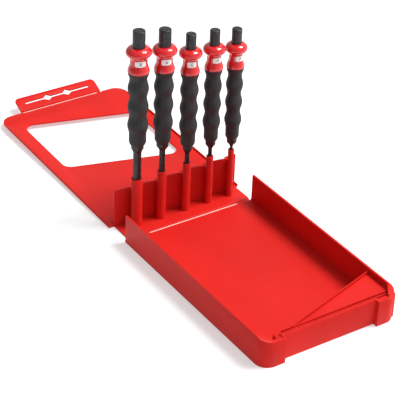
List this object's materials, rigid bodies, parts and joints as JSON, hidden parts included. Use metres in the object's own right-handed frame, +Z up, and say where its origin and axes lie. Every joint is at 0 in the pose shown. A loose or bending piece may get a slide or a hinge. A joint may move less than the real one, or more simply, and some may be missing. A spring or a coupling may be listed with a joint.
{
  "type": "pin punch set in a folding case",
  "caption": "Sheathed pin punches with hand guards and rubber grips, standing in the rack of a hinged moulded case with tray, windowed lid and hang tab",
  "frame": {"origin": "middle of the tray's flat underside, on the surface the case stands on", "axes": "+X along the row of punches, +Y from the tray through the rack to the lid, +Z up"},
  "size_m": [0.1526, 0.513, 0.2147],
  "materials": {
    "case_plastic": "satin moulded",
    "guard_plastic": "glossy moulded",
    "grip_rubber": "soft matt",
    "black_steel": "black oxide",
    "label": "printed film"
  },
  "bodies": {
    "tray": {"tray": "case_plastic", "rack_film_hinge": "case_plastic"},
    "rack": {"rack": "case_plastic", "lid_film_hinge": "case_plastic"},
    "lid": {"lid": "case_plastic", "tab_film_hinge": "case_plastic"},
    "hang_tab": {"hang_tab": "case_plastic"},
    "punch_1": {"punch_1_shank": "black_steel", "punch_1_guard": "guard_plastic", "punch_1_grip": "grip_rubber", "punch_1_badge": "label"},
    "punch_2": {"punch_2_shank": "black_steel", "punch_2_guard": "guard_plastic", "punch_2_grip": "grip_rubber", "punch_2_badge": "label"},
    "punch_3": {"punch_3_shank": "black_steel", "punch_3_guard": "guard_plastic", "punch_3_grip": "grip_rubber", "punch_3_badge": "label"},
    "punch_4": {"punch_4_shank": "black_steel", "punch_4_guard": "guard_plastic", "punch_4_grip": "grip_rubber", "punch_4_badge": "label"},
    "punch_5": {"punch_5_shank": "black_steel", "punch_5_guard": "guard_plastic", "punch_5_grip": "grip_rubber", "punch_5_badge": "label"}
  },
  "joints": [
    {"name": "rack_fold", "type": "hinge", "parent": "tray", "child": "rack", "pos_m": [0, 0.1165, 0.0004], "axis": [-1, 0, 0], "range_deg": [-90, 0], "deforming": ["rack_film_hinge"]},
    {"name": "lid_fold", "type": "hinge", "parent": "rack", "child": "lid", "pos_m": [0, 0.1482, 0.0004], "axis": [-1, 0, 0], "range_deg": [-88.7, 1.3], "deforming": ["lid_film_hinge"]},
    {"name": "tab_fold", "type": "hinge", "parent": "lid", "child": "hang_tab", "pos_m": [0.0011, 0.37834, 0.00562], "axis": [-1, 0, 0], "range_deg": [-68, 22], "deforming": ["tab_film_hinge"]},
    {"name": "punch_1_slide", "type": "slide", "parent": "rack", "child": "punch_1", "axis": [0, 0, 1], "range_m": [0, 0.055]},
    {"name": "punch_2_slide", "type": "slide", "parent": "rack", "child": "punch_2", "axis": [0, 0, 1], "range_m": [0, 0.055]},
    {"name": "punch_3_slide", "type": "slide", "parent": "rack", "child": "punch_3", "axis": [0, 0, 1], "range_m": [0, 0.055]},
    {"name": "punch_4_slide", "type": "slide", "parent": "rack", "child": "punch_4", "axis": [0, 0, 1], "range_m": [0, 0.055]},
    {"name": "punch_5_slide", "type": "slide", "parent": "rack", "child": "punch_5", "axis": [0, 0, 1], "range_m": [0, 0.055]}
  ]
}
